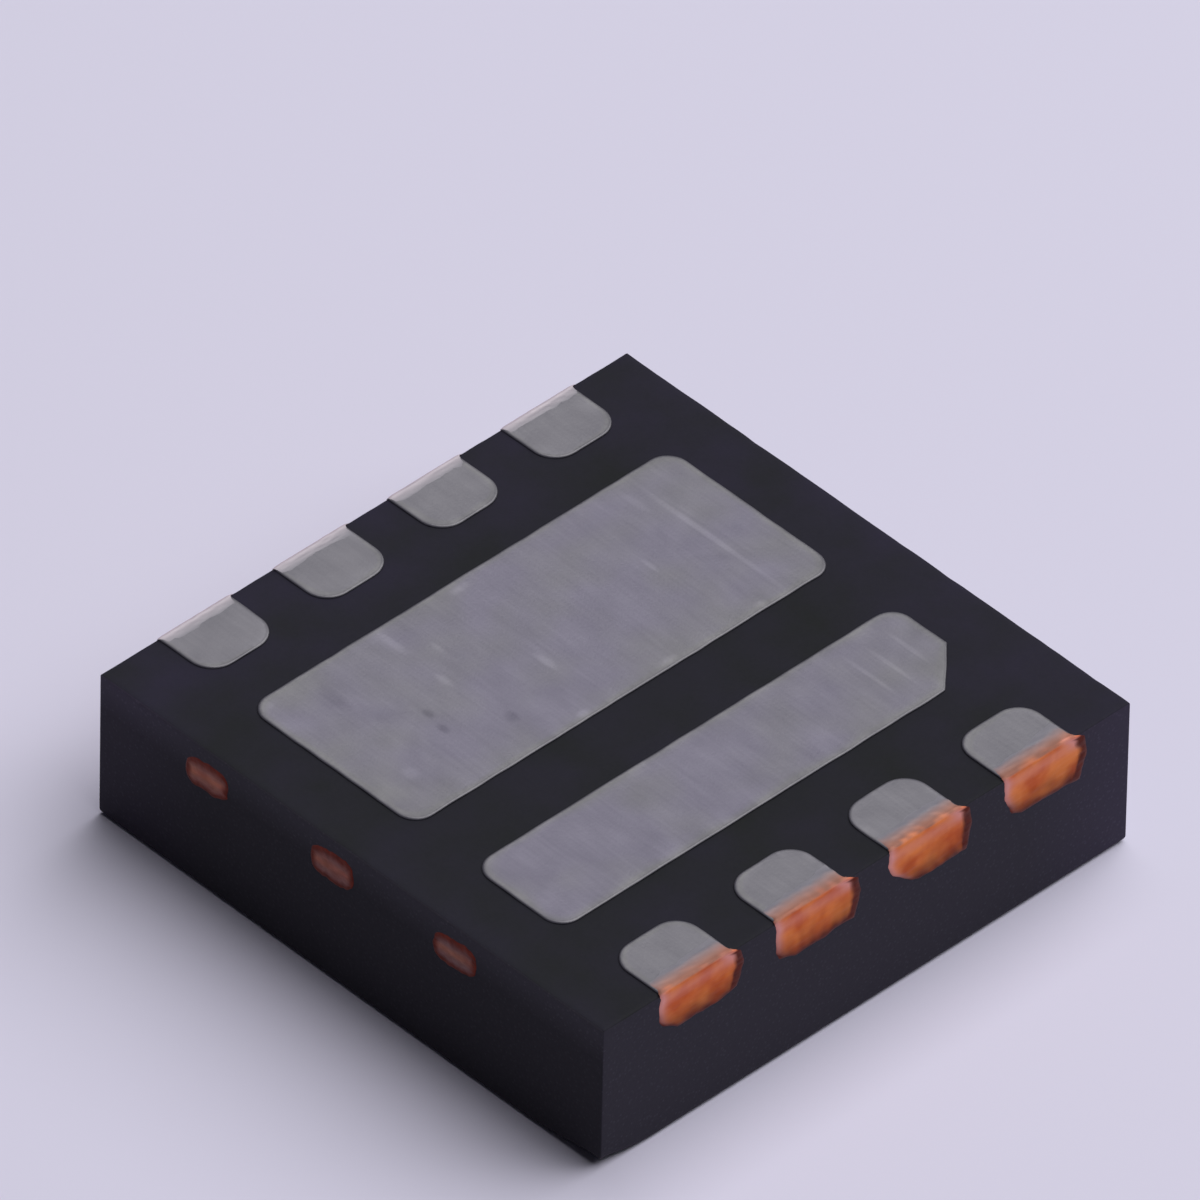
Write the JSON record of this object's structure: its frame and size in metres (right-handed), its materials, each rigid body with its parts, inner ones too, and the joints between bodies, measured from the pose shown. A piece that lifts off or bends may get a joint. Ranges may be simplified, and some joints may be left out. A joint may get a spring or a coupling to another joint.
{
  "type": "field effect transistor",
  "caption": "Leadless square surface-mount power transistor package with flush terminals on two sides and exposed narrow and wide pads.",
  "frame": {"origin": "middle of the flat marking face, on which the part lies", "axes": "+Z out of the terminal face, X along the rows of terminals, terminal 1 at +X, -Y"},
  "size_m": [0.003, 0.003, 0.0008],
  "materials": {
    "moulding_compound": "matte",
    "frame_copper": "satin",
    "clip_copper": "satin",
    "wire_copper": "satin",
    "tin_plate": "matte",
    "solder": "satin",
    "silicon": "satin"
  },
  "bodies": {
    "root": {"moulded_body": "moulding_compound", "drain_frame": "frame_copper", "switch_frame": "frame_copper", "source_frame": "frame_copper", "gate_lead_1": "frame_copper", "gate_lead_8": "frame_copper", "small_die": "silicon", "large_die": "silicon", "small_die_attach": "solder", "large_die_attach": "solder", "small_die_clip": "clip_copper", "large_die_clip": "clip_copper", "small_clip_solder": "solder", "large_clip_solder": "solder", "small_foot_solder": "solder", "large_foot_solder": "solder", "small_gate_wire": "wire_copper", "large_gate_wire": "wire_copper", "narrow_pad_finish": "tin_plate", "wide_pad_finish": "tin_plate", "terminal_finish_1": "tin_plate", "terminal_finish_2": "tin_plate", "terminal_finish_3": "tin_plate", "terminal_finish_4": "tin_plate", "terminal_finish_5": "tin_plate", "terminal_finish_6": "tin_plate", "terminal_finish_7": "tin_plate", "terminal_finish_8": "tin_plate"}
  },
  "joints": []
}
